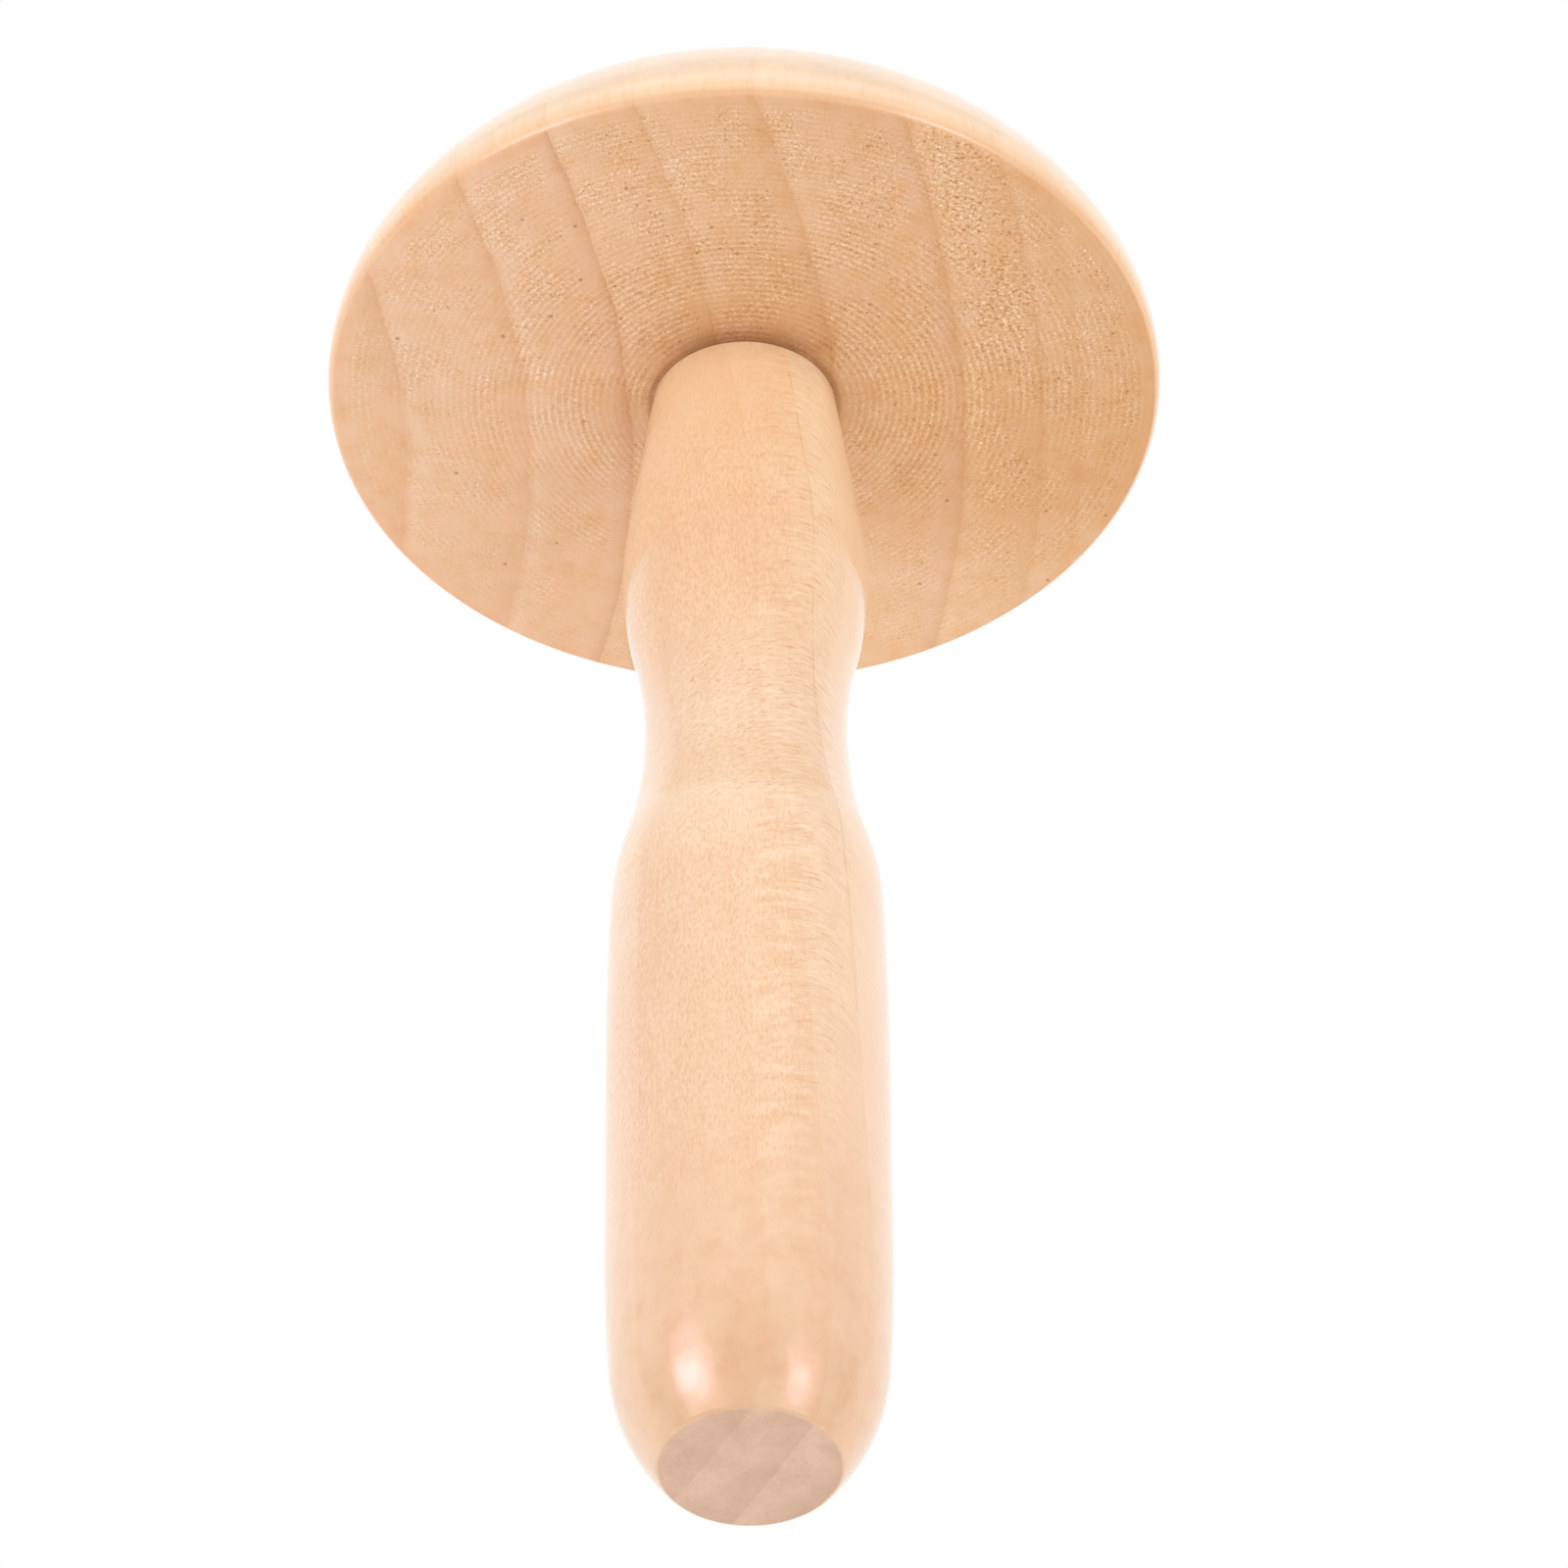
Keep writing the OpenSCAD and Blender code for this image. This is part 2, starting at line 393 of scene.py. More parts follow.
def handle_outline(sizes):
    """Outline of the handle, from the middle of its flat end to the tenon's end."""
    seat, grip = sizes.neck_height, sizes.grip_diameter / 2
    end_edge = Vector((sizes.end_flat_diameter / 2, sizes.end_edge_radius))
    ease_spare = sizes.nose_ease_radius - sizes.nose_radius
    nose_spare = sizes.nose_radius - sizes.end_edge_radius
    nose_x = grip - sizes.nose_ease_radius + ease_spare * math.cos(sizes.nose_angle)
    end_tilt = -math.acos((end_edge.x - nose_x) / nose_spare)
    nose = end_edge - nose_spare * toward(end_tilt)
    nose_ease = nose - ease_spare * toward(-sizes.nose_angle)
    grip_ease = Vector((grip - sizes.grip_ease_radius, sizes.grip_top))
    shoulder = grip_ease + sizes.grip_ease_radius * toward(sizes.grip_ease_angle)
    waist = Vector((sizes.waist_diameter / 2, sizes.waist_height))
    bulge = Vector((sizes.bulge_diameter / 2, sizes.bulge_height))
    bulge_top = bulge - sizes.bulge_top_radius * toward(0)
    # The neck's eased edge touches the straight run above the swelling and the seat
    neck_edge = Vector((sizes.neck_diameter / 2, seat))
    way = neck_edge - bulge_top
    neck_tilt = math.atan2(way.y, way.x) - math.acos(sizes.bulge_top_radius / way.length)
    ease = sizes.neck_edge_radius
    neck_ease = Vector((neck_edge.x - ease * (1 - math.sin(neck_tilt)) / math.cos(neck_tilt), seat - ease))
    tenon, top = sizes.tenon_diameter / 2, seat + sizes.tenon_length
    swelling = arc(bulge_top, sizes.bulge_top_radius, 0, neck_tilt)
    neck = arc(neck_ease, ease, neck_tilt, math.pi / 2)
    return no_repeats(
        [Vector((0, 0))]
        + arc(end_edge, sizes.end_edge_radius, -math.pi / 2, end_tilt)
        + arc(nose, sizes.nose_radius, end_tilt, -sizes.nose_angle)
        + arc(nose_ease, sizes.nose_ease_radius, -sizes.nose_angle, 0)
        + run(Vector((grip, nose_ease.y)), Vector((grip, sizes.grip_top)), OUTLINE_STEP)
        + arc(grip_ease, sizes.grip_ease_radius, 0, sizes.grip_ease_angle)
        + ogee(shoulder, sizes.grip_ease_angle, waist, sizes.low_hollow_ratio)
        + ogee(bulge, 0, waist, sizes.high_hollow_ratio)[::-1]
        + swelling
        + run(swelling[-1], neck[0], OUTLINE_STEP)
        + neck
        + [Vector((tenon, seat)), Vector((tenon, top - sizes.tenon_chamfer))]
        + [Vector((tenon - sizes.tenon_chamfer, top)), Vector((0, top))]
    )


def lathe_tree():
    """A tree that turns an outline about the vertical axis and cuts the tool's grooves in a band of it."""
    group = bpy.data.node_groups.new("Lathe", "GeometryNodeTree")
    group.is_modifier = True
    face = group.interface
    face.new_socket("Outline", in_out="INPUT", socket_type="NodeSocketGeometry")
    face.new_socket("Steps around", in_out="INPUT", socket_type="NodeSocketInt")
    for name in ("Groove pitch", "Groove depth", "Groove from radius", "Groove to radius", "Groove below"):
        face.new_socket(name, in_out="INPUT", socket_type="NodeSocketFloat")
    face.new_socket("Material", in_out="INPUT", socket_type="NodeSocketMaterial")
    face.new_socket("Turned piece", in_out="OUTPUT", socket_type="NodeSocketGeometry")
    build = Tree(group)
    given = build.outputs("NodeGroupInput")
    outline, steps = given["Outline"], given["Steps around"]

    # A grid with a row for each point of the outline, and a column for each step and for the seam
    count = build.made("GeometryNodeAttributeDomainSize", (outline,), "Point Count", component="MESH")
    columns = steps + 1
    grid = build.made("GeometryNodeMeshGrid", {"Vertices X": count, "Vertices Y": columns})
    index = build.made("GeometryNodeInputIndex")
    row = ((index + 0.5) / columns).math("FLOOR")
    turn = (index - row * columns) / steps * math.tau

    # Each grid point takes its radius and height from the outline
    inputs = {"Geometry": outline, "Value": build.made("GeometryNodeInputPosition"), "Index": row}
    sample = build.made("GeometryNodeSampleIndex", inputs, data_type="FLOAT_VECTOR", domain="POINT")
    radius, _, height = sample.parts()
    x = radius * turn.math("COSINE")
    y = radius * turn.math("SINE")

    # Grooves: rounded cuts with a sharp ridge between them, deeper in some places than in others
    ridge = abs((radius / given["Groove pitch"] * math.pi).math("SINE"))
    start, end = given["Groove from radius"], given["Groove to radius"]
    uneven = build.joined(x, y, radius * GROOVE_CHANGE).noise(GROOVE_PATCHES)
    cut = ridge * radius.rise(start, start + GROOVE_FADE) * (end - radius).rise(0.0, GROOVE_FADE)
    cut *= height.math("LESS_THAN", given["Groove below"]) * uneven.rise(0.3, 0.7, 0.35, 1.0)
    place = build.joined(x, y, height + cut * given["Groove depth"])
    turned = build.made("GeometryNodeSetPosition", {"Geometry": grid, "Position": place})

    # Close the seam and the poles, turn the faces outwards and keep the corners crisp
    closed = build.made("GeometryNodeMergeByDistance", {"Geometry": turned, "Distance": POINT_GAP / 2})
    outwards = build.made("GeometryNodeFlipFaces", (closed,))
    corner = build.made("GeometryNodeInputMeshEdgeAngle").math("GREATER_THAN", CORNER)
    inputs = {"Geometry": outwards, "Selection": corner, "Shade Smooth": False}
    crisp = build.made("GeometryNodeSetShadeSmooth", inputs, domain="EDGE")
    real = build.made("GeometryNodeRealizeInstances", (crisp,))
    dressed = build.made("GeometryNodeSetMaterial", {"Geometry": real, "Material": given["Material"]})
    build.node("NodeGroupOutput", (dressed,))
    return group


def turn_piece(name, outline, material, groove=None):
    """A finished mesh object, turned from an outline by the lathe tree."""
    mesh = bpy.data.meshes.new(name + "_outline")
    points = [(point.x, 0, point.y) for point in outline]
    mesh.from_pydata(points, [(i, i + 1) for i in range(len(points) - 1)], [])
    blank = bpy.data.objects.new(name + "_outline", mesh)
    bpy.context.scene.collection.objects.link(blank)
    group = bpy.data.node_groups.get("Lathe") or lathe_tree()
    sockets = {item.name: item.identifier for item in group.interface.items_tree if item.in_out == "INPUT"}
    modifier = blank.modifiers.new("Lathe", "NODES")
    modifier.node_group = group
    values = {
        "Steps around": bpy.context.scene.mushroom_wood.steps_around,
        # Without grooves, any pitch but 0 will do
        "Groove pitch": 1.0,
        "Groove depth": 0.0,
        "Groove from radius": 0.0,
        "Groove to radius": 0.0,
        "Groove below": 0.0,
        "Material": material,
        **(groove or {}),
    }
    for socket, value in values.items():
        modifier[sockets[socket]] = value
    shown = blank.evaluated_get(bpy.context.evaluated_depsgraph_get())
    final = bpy.data.meshes.new_from_object(shown)
    blank.modifiers.remove(modifier)
    bpy.data.objects.remove(blank)
    final.name = name
    piece = bpy.data.objects.new(name, final)
    bpy.context.scene.collection.objects.link(piece)
    check_solid(piece)
    return piece


def check_solid(piece):
    """Raises unless a piece is closed with its faces outwards."""
    mesh = piece.data
    mesh.calc_loop_triangles()
    at = [vertex.co for vertex in mesh.vertices]
    volume = sum(
        at[t.vertices[0]].dot(at[t.vertices[1]].cross(at[t.vertices[2]])) for t in mesh.loop_triangles
    )
    sides = len(mesh.loops)
    if volume <= 0 or sides != 2 * len(mesh.edges):
        raise RuntimeError(f"{piece.name} is open or inside out: volume {volume / 6:.3e}")


def new_material(name):
    """A material with only its Principled shader, and the tree that its nodes go in."""
    material = bpy.data.materials.new(name)
    material.use_nodes = True
    tree = Tree(material.node_tree)
    shader = material.node_tree.nodes["Principled BSDF"]
    return material, tree, shader


def place_in_mm(tree):
    """The point on the piece, in millimetres."""
    return tree.made("ShaderNodeTexCoord", output="Object") * ((1 / MM,) * 3)


def finish_wood(tree, shader, look, bare, relief, skin):
    """Dull bare wood, and satin wood under varnish. The wood's relief and the varnish's skin are bumps."""
    tree.feed(shader.inputs["Roughness"], bare * 0.3 + 0.38)
    tree.feed(shader.inputs["Coat Weight"], 1 - bare)
    shader.inputs["Coat Roughness"].default_value = look.coat_roughness
    shader.inputs["Coat IOR"].default_value = 1.5
    tree.feed(shader.inputs["Normal"], relief)
    tree.feed(shader.inputs["Coat Normal"], skin)


def ring_share(distance, edges):
    """How far a point is from the first ring's edge to the last, from 0 to 1."""
    return (distance - edges[0]) / (edges[-1] - edges[0])


def ring_season(share, edges, line):
    """How far through its own ring a point is, from 0 to 1, where a line of this width ends each ring."""
    start, span = edges[0], edges[-1] - edges[0]
    stops = [(0.0, 0.0)]
    for edge in edges[1:]:
        stops.append(((edge - start) / span, 1.0))
        if edge != edges[-1]:
            stops.append(((edge + line - start) / span, 0.0))
    return share.ramp(*stops)


# Where the heart of the tree lies from the cap's middle, the radii of the ring edges about it, in mm,
# and how dark the line is that ends each ring
CAP_HEART = (-122.0, 6.5)
CAP_RING_EDGES = (79.6, 91.3, 102.5, 111.8, 120.2, 130.6, 142.1, 149.2, 152.6, 162.0)
CAP_RING_ENDS = (0.5, 0.5, 0.75, 0.5, 0.62, 0.42, 0.4, 0.35, 0.4)
CAP_LINE_WIDTH = 0.6
# How the cap's rings waver: scale, detail and width in mm
CAP_RING_WAVES = ((0.09, 2.0, 1.1), (0.9, 1.0, 0.35), (3.0, 1.0, 0.45))
# The second ring edge with a grey band before it, and the radii over which that band sets in
GREY_BAND_END = CAP_RING_EDGES[6]
GREY_BAND_START = (133.0, 137.5)
# Radii of the ring whose grain is torn: where the tears start, are full, start to fade, and end
TORN_RING = (141.5, 144.5, 147.5, 151.0)

# The way across the handle's rings, and how far along it their edges lie from the axis, in mm
HANDLE_RING_WAY = (0.88, 0.47)
HANDLE_RING_EDGES = (-22.0, -16.4, -10.8, -5.3, 0.0, 5.6, 11.4, 17.0, 23.0)
HANDLE_LINE_WIDTH = 0.14
# How far the rings lean in each mm of height, and where on the axis the edge at 0 would lie, before a shift
HANDLE_LEAN = 0.061
HANDLE_RING_HEIGHT = 112.0
HANDLE_RING_SHIFT = 0.5
# The plane through the axis along which the wood's rays run, as a turn from the camera's right
RAY_TURN = math.radians(18)


class CapWood:
    """Where a point lies in the cap's wood, and the layers that colour it. A layer is (tint, amount)."""

    def __init__(self, tree, sizes):
        self.tree, self.sizes = tree, sizes
        self.spot = place_in_mm(tree)
        self.x, self.y, self.z = self.spot.parts()
        self.rim = (sizes.seat_height + sizes.underside_rise) / MM
        self.edge = sizes.diameter / MM / 2
        self.bare = 1 - self.z.rise(self.rim + 0.05, self.rim + 0.2)
        self.grain = self.spot * (1, 1, 0.12)
        flat = self.spot * (1, 1, 0)
        self.radius = flat.length()
        self.reach = (flat - (*CAP_HEART, 0)).length()
        for scale, detail, width in CAP_RING_WAVES:
            self.reach += (self.grain.noise(scale, detail) - 0.5) * width
        share = ring_share(self.reach, CAP_RING_EDGES)
        self.season = ring_season(share, CAP_RING_EDGES, CAP_LINE_WIDTH)
        first, last = CAP_RING_EDGES[0], CAP_RING_EDGES[-1]
        ends = [((edge - first) / (last - first), dark) for edge, dark in zip(CAP_RING_EDGES, CAP_RING_ENDS)]
        self.strength = share.ramp(*ends, interpolation="CONSTANT")
        self.patch = self.grain.noise(0.22, 3).rise(0.36, 0.62, 0.35, 1.2)
        self.bumps = []

    def season_layer(self, amount):
        """Light just past a ring's edge, then warmer, then a soft brown band."""
        tint = self.season.ramp(
            (0, (1.02, 1.05, 1.085)),
            (0.16, (1.005, 1.005, 1.01)),
            (0.55, (0.98, 0.955, 0.915)),
            (0.78, (0.972, 0.938, 0.88)),
            (0.9, (0.945, 0.89, 0.81)),
            (1, (0.91, 0.835, 0.745)),
        )
        return tint, amount

    def line_layer(self, share):
        """The thin dark line that ends a ring, which breaks up and fades away from the camera's side."""
        tint = self.season.ramp((0.9, 1), (0.96, (0.97, 0.945, 0.91)), (1, (0.85, 0.765, 0.68)))
        broken = self.grain.noise(0.8, 3, 0.7).rise(0.36, 0.6, 0.35)
        uneven = self.grain.noise(0.13).rise(0.35, 0.62, 0.45, 1.1)
        return tint, self.strength * broken * uneven * self.y.rise(7, -10, 0.12) * share

    def grey_layer(self):
        """A smooth grey-pink band before the strongest line, and before one other."""
        tint = self.season.ramp(
            (0.68, 1),
            (0.78, (1.01, 1.035, 1.11)),
            (0.9, (1, 1.02, 1.13)),
            (0.97, (0.98, 0.97, 1)),
            (1, (0.96, 0.94, 0.95)),
        )
        before = self.reach.math("LESS_THAN", GREY_BAND_END)
        other = self.reach.rise(*GREY_BAND_START, 0, 0.9) * before
        return tint, highest(self.strength.rise(0.68, 0.72), other)

    def cloud_layer(self):
        """Slow changes of colour over the whole cap."""
        cloud = (self.grain + (31, 7, 0)).noise(0.10, 4, 0.65)
        return cloud.ramp((0.32, (0.965, 0.955, 0.945)), (0.5, 1), (0.66, (1, 0.985, 0.945))), 1

    def zone_layers(self):
        """Pinker and paler towards the heart's side and away from the camera's side, and paler or browner in
        a few places.
        """
        x, y = self.x, self.y
        zone = ((self.reach - 82) / 80).ramp(
            (0, (1, 1.01, 1.03)),
            (0.25, (0.995, 0.985, 0.99)),
            (0.55, (0.945, 0.91, 0.85)),
            (0.69, (0.937, 0.888, 0.815)),
            (0.77, (0.93, 0.87, 0.765)),
            (1, (0.89, 0.82, 0.69)),
        )
        return [
            (zone, 1),
            ((1.045, 1.035, 1.02), y.rise(-8, 30)),
            ((1.07, 1.13, 1.22), x.rise(0, 13) * y.rise(12, 24)),
            ((0.975, 0.925, 0.85), x.rise(6, 16) * y.between(-12, 6, 14, 24)),
        ]

    def neck_painted_shade_layer(self):
        """Painted shade round the neck where it meets the underside: darkest at the seam and fading
        outwards, wider and deeper on the camera's side than on the far side.
        """
        painted_shade_camera_side = self.radius.rise(8.3, 27).ramp(
            (0, (0.56, 0.43, 0.31)),
            (0.02, (0.80, 0.69, 0.56)),
            (0.07, (0.89, 0.825, 0.73)),
            (0.2, (0.955, 0.92, 0.855)),
            (1, 1),
        )
        painted_shade_far_side = self.radius.rise(8.3, 15).ramp(
            (0, (0.70, 0.58, 0.46)), (0.04, (0.91, 0.87, 0.78)), (0.35, (0.94, 0.905, 0.84)), (1, 1)
        )
        # Painted shade: the deeper, wider band on the camera's side, the lighter, narrower one on the far
        # side
        return self.tree.blend(self.y.rise(-9, -4), painted_shade_camera_side, painted_shade_far_side), 1

    def mottle_layers(self):
        """Small pale and amber patches."""
        mottle = (self.grain * (0.32, 0.16, 1)).noise(1, 5, 0.75)
        mottle = mottle.ramp(
            (0.36, (1.012, 1.03, 1.06)), (0.5, 1), (0.6, (0.988, 0.965, 0.92)), (0.68, (0.975, 0.93, 0.85))
        )
        amber = (self.grain + (3, 17, 0)).noise(0.45, 3, 0.7)
        amber = amber.ramp(
            (0.33, (1.01, 1.03, 1.06)), (0.48, 1), (0.6, (0.987, 0.96, 0.905)), (0.7, (0.97, 0.91, 0.81))
        )
        return [(mottle, 1), (amber, 1)]

    def tool_layers(self):
        """Rows of light and dark dots along each groove, strongest towards the camera's side, with painted
        shade at the bottom of each groove and painted light on its crest.
        """
        x, y, radius = self.x, self.y, self.radius
        groove = abs((radius / (self.sizes.groove_pitch / MM) * math.pi).math("SINE"))
        # The dense wood before a line takes the marks less, but for the middle of the cap
        late = self.season.rise(0.72, 0.86) * self.strength * radius.rise(10, 24, 0.3)
        open_wood = self.patch * (1 - late) * self.bare
        worked = (x * 0.45 - y).rise(-30, 16, 0.35) * open_wood
        worked *= radius.rise(self.edge - 1.2, self.edge - 2.4)
        ridges = radius.rise(32, 14, 0.3, 1.1) * y.rise(22, 0, 0.35) * open_wood
        ridges *= x.rise(-34, -17, 0.2)
        grit = self.grain.noise(4, 1.5, 0.75)
        dots = (grit + (0.5 - groove) * 0.09).ramp(
            (0.29, (0.77, 0.67, 0.55)), (0.42, (0.98, 0.96, 0.935)), (0.53, 1), (0.66, (1.14, 1.30, 1.50))
        )
        # Painted shade in the grooves and painted light on their crests; the dots above also lean lighter on
        # the crests
        painted_groove_shade = groove.ramp((0, (1.05, 1.08, 1.11)), (0.5, 1), (1, (0.95, 0.93, 0.90)))
        # Here and there a single fibre end is bright, or dull
        distance, kind = self.grain.cells(1.9)
        speck = distance.rise(0.32, 0.18) * worked
        self.bumps.append(grit * worked)
        return [
            (dots, worked),
            (painted_groove_shade, ridges),
            ((1.14, 1.28, 1.5), speck * kind.rise(0.74, 0.9)),
            ((0.70, 0.57, 0.43), speck * kind.rise(0.18, 0.05)),
        ]

    def torn_layer(self):
        """Torn grain in one ring, on the camera's side."""
        fleck = (self.grain * (2.4, 2.8, 1)).noise(1, 2, 0.7)
        tint = fleck.ramp(
            (0.33, (0.60, 0.43, 0.28)), (0.43, (1, 0.985, 0.95)), (0.52, 1), (0.63, (1.18, 1.36, 1.58))
        )
        torn = self.reach.between(*TORN_RING) * self.y.rise(2, -16, 0.15, 1.15)
        torn *= self.bare * self.patch.rise(0.35, 1, 0.55, 1.1)
        self.bumps.append(fleck * torn)
        return tint, torn

    def underside(self, colour):
        """The colour of the bare end grain."""
        base = self.tree.tinted(
            colour,
            *self.zone_layers(),
            self.neck_painted_shade_layer(),
            self.cloud_layer(),
            *self.mottle_layers(),
            self.season_layer(self.strength * 0.65 + 0.38),
            self.grey_layer(),
            self.line_layer(1),
            *self.tool_layers(),
            self.torn_layer(),
        )
        # A few open pores
        distance, kind = self.grain.cells(0.42)
        pore = distance.rise(0.11, 0.05, 0, 0.8) * kind.math("GREATER_THAN", 0.6) * self.bare
        self.bumps.append(pore * -1)
        base = self.tree.blend(pore, base, (0.44, 0.22, 0.10))
        # Varnish runs unevenly over the corner onto the underside
        ragged = self.radius + (self.grain.noise(0.35, 4, 0.7) - 0.5) * 5
        overrun = ragged.rise(self.edge - 1.2, self.edge - 0.6, 0, 0.8)
        return self.tree.tinted(base, ((1.02, 0.97, 0.95), overrun))

    def dome(self, colour):
        """The colour under the varnish: fine streaks along the fibres, and the rings only faintly."""
        streaks = (self.spot * (2, 2, 0.25)).noise(1, 3, 0.65)
        streaks = streaks.ramp((0.32, (0.975, 0.92, 0.84)), (0.46, 1), (0.7, (1.01, 1.02, 1.04)))
        # Varnish darkens the wood where it gathers along the rim's corner, and above it the side is painted
        # paler, as painted light where the side faces level
        side = self.z.rise(self.rim, self.rim + 5).ramp(
            (0.03, (0.97, 0.83, 0.72)),
            (0.1, (1, 0.935, 0.865)),
            (0.2, (1, 0.96, 0.91)),
            (0.28, (1, 1.01, 1.03)),
            (0.36, (1.02, 1.05, 1.10)),
            (0.48, (1.02, 1.05, 1.09)),
            (0.7, 1),
        )
        layers = self.cloud_layer(), self.season_layer(0.3), self.line_layer(0.25)
        return self.tree.tinted(colour, (streaks, 1), *layers, (side, 1))


def cap_material(look, sizes):
    """Pale hardwood: bare end grain with ring lines and tool marks below, varnished above."""
    material, tree, shader = new_material("cap_wood")
    wood = CapWood(tree, sizes)
    underside = wood.underside(tuple(look.underside))
    dome = wood.dome(tuple(look.varnished_cap))
    tree.feed(shader.inputs["Base Color"], tree.blend(wood.bare, dome, underside))
    relief = sum(wood.bumps).bump(0.6, 0.06 * MM)
    skin = wood.spot.noise(0.8).bump(0.3, 0.03 * MM)
    finish_wood(tree, shader, look, wood.bare, relief, skin)
    return material


class HandleWood:
    """Where a point lies in the handle's wood, and the layers that colour it. A layer is (tint, amount)."""

    def __init__(self, tree):
        self.tree = tree
        self.spot = place_in_mm(tree)
        self.x, self.y, self.z = self.spot.parts()
        self.bare = 1 - self.z.rise(0.01, 0.1)
        # The grain leans a little, so a ring's edge crosses the handle at a slant
        wave = ((self.spot * (1, 1, 0.08)).noise(0.12) - 0.5) * 0.9
        way_x, way_y = HANDLE_RING_WAY
        self.offset = self.x * way_x + self.y * way_y + (self.z - HANDLE_RING_HEIGHT) * HANDLE_LEAN
        self.offset += wave - HANDLE_RING_SHIFT
        share = ring_share(self.offset, HANDLE_RING_EDGES)
        self.season = ring_season(share, HANDLE_RING_EDGES, HANDLE_LINE_WIDTH)
        # The point's place along the rays and across them
        self.aside = self.x * math.cos(RAY_TURN) + self.y * math.sin(RAY_TURN)
        self.side = self.y * math.cos(RAY_TURN) - self.x * math.sin(RAY_TURN)
        self.level = self.z - self.aside * 0.26
        self.waist = self.z.between(60, 68, 83, 92)
        self.bumps = []

    def ring_layers(self):
        """Warmer wood late in a ring, and the one clear line on the sides, which comes and goes."""
        late = self.season.ramp((0, 1), (0.6, (1, 0.985, 0.97)), (1, (0.99, 0.96, 0.935)))
        line = self.season.ramp((0.95, 1), (0.98, (0.945, 0.885, 0.825)), (1, (0.83, 0.71, 0.60)))
        broken = (self.spot * (0.1, 0.1, 0.25)).noise(1).rise(0.38, 0.58, 0.15)
        near = abs(self.offset).rise(2.5, 1, 0.12) * self.z.rise(14, 30)
        return [(late, 1), (line, near * broken)]

    def drift_and_painted_light_layer(self):
        """The wood's colour drifts a little along the handle, darker towards the flat end. Over that,
        painted light and shade: a paler band below the waist, where the varnish mirrors the cap's underside;
        a warmer, darker band below the swelling; and ever paler wood up the swelling to the neck, which lies
        in the cap's shade.
        """
        # Painted light and shade by height, over a slight drift in the wood's colour
        painted_light_drift = (self.z / 125).ramp(
            (0.06, (0.94, 0.90, 0.89)),
            (0.24, (0.985, 0.965, 0.955)),
            (0.36, (0.99, 0.985, 0.98)),
            (0.46, (1, 1.02, 1.03)),
            (0.52, (1.005, 1.055, 1.10)),
            (0.56, (1.015, 1.09, 1.165)),
            (0.63, (1.005, 1.06, 1.10)),
            (0.71, (0.99, 0.95, 0.905)),
            (0.79, (0.99, 0.925, 0.845)),
            (0.83, (1.05, 1.075, 1.085)),
            (0.88, (1.095, 1.15, 1.17)),
            (0.98, (1.165, 1.315, 1.365)),
        )
        return painted_light_drift, 1

    def fibre_layer(self):
        """Cut fibre ends: dense short upright flecks, few on the smooth nose and on the neck."""
        fibre = (self.spot * (4.8, 4.8, 1.6)).noise(1, 1.5, 0.7)
        tint = fibre.ramp(
            (0.28, (0.93, 0.81, 0.71)), (0.43, (0.98, 0.965, 0.945)), (0.51, 1), (0.66, (1.04, 1.12, 1.17))
        )
        amount = self.aside.rise(3, -2.5, 0.35) * self.waist.rise(0.1, 0.9, 1, 0.35)
        amount *= self.z.rise(13, 32, 0.1) * self.z.rise(120, 104, 0.4)
        self.bumps.append(fibre * amount)
        return tint, amount

    def curl_layer(self):
        """Curly figure: fine wavy lines over the waist and down the right of the middle."""
        aside, z = self.aside, self.z
        # The lines arch over the plane of the rays, and are longest there and short on the left
        left = aside.math("MINIMUM", 0)
        right = highest(aside - 1.5, 0)
        arch = self.level + left * left * 0.045 + right * right * 0.12
        curl = self.tree.joined(aside * 0.7 - left * left * 0.17, arch * 3.6, self.side * 0.12)
        tint = curl.noise(1, 2.2, 0.6, 0.7).ramp(
            (0.29, (0.81, 0.64, 0.50)), (0.39, (0.97, 0.94, 0.915)), (0.50, 1), (0.66, (1.04, 1.15, 1.24))
        )
        over_waist = self.waist * aside.rise(-10, -6, 0.2) * aside.rise(8, 5.5)
        low = aside.between(-1.5, 1.5, 5, 7.5) * z.rise(16, 50, 0, 0.75)
        high = aside.between(-3, 0, 3, 5) * z.rise(84, 92, 0, 0.5)
        return tint, highest(over_waist, low, high)

    def bar_layer(self):
        """Pale bars across the middle of the grip, closer together towards its top."""
        aside, z = self.aside, self.z
        bow = self.level + aside * aside * 0.05
        climb = bow * 0.85 + highest(z - 42, 0) * 0.35
        bar = self.tree.joined(aside * 0.25, climb, self.side * 0.05).noise(1, 2, 0.6, 0.3)
        tint = bar.ramp(
            (0.36, (0.965, 0.90, 0.83)), (0.46, (0.99, 0.98, 0.965)), (0.54, 1), (0.62, (1.04, 1.095, 1.155))
        )
        amount = aside.between(-3.4, -2.4, 1.2, 3) * self.waist.rise(0.9, 0.2, 0.25)
        return tint, amount * z.rise(96, 84, 0.3) * z.rise(4, 40, 0.12, 1.1)

    def painted_light_and_streak_layers(self):
        """Painted light in a few places where the lighting falls short: low on the left, on the swelling's
        sides, at the foot of the waist on the left and on the right of the grip; and a redder streak up the
        left of the grip.
        """
        x, z = self.x, self.z
        low_left = x.rise(-5, -10, 0, 0.65) * z.rise(36, 18)
        high_sides = highest(x.rise(2.5, 6.5), x.rise(-6, -10, 0, 0.25)) * z.rise(76, 92)
        foot = z.between(57, 63, 67, 73) * self.aside.rise(-1, -5, 0.2, 0.55)
        grip = x.between(3, 6.5, 9, 11) * z.between(24, 34, 54, 62) * 0.45
        streak = x.between(-9.8, -9, -8.2, -4.8) * z.between(38, 48, 61, 68)
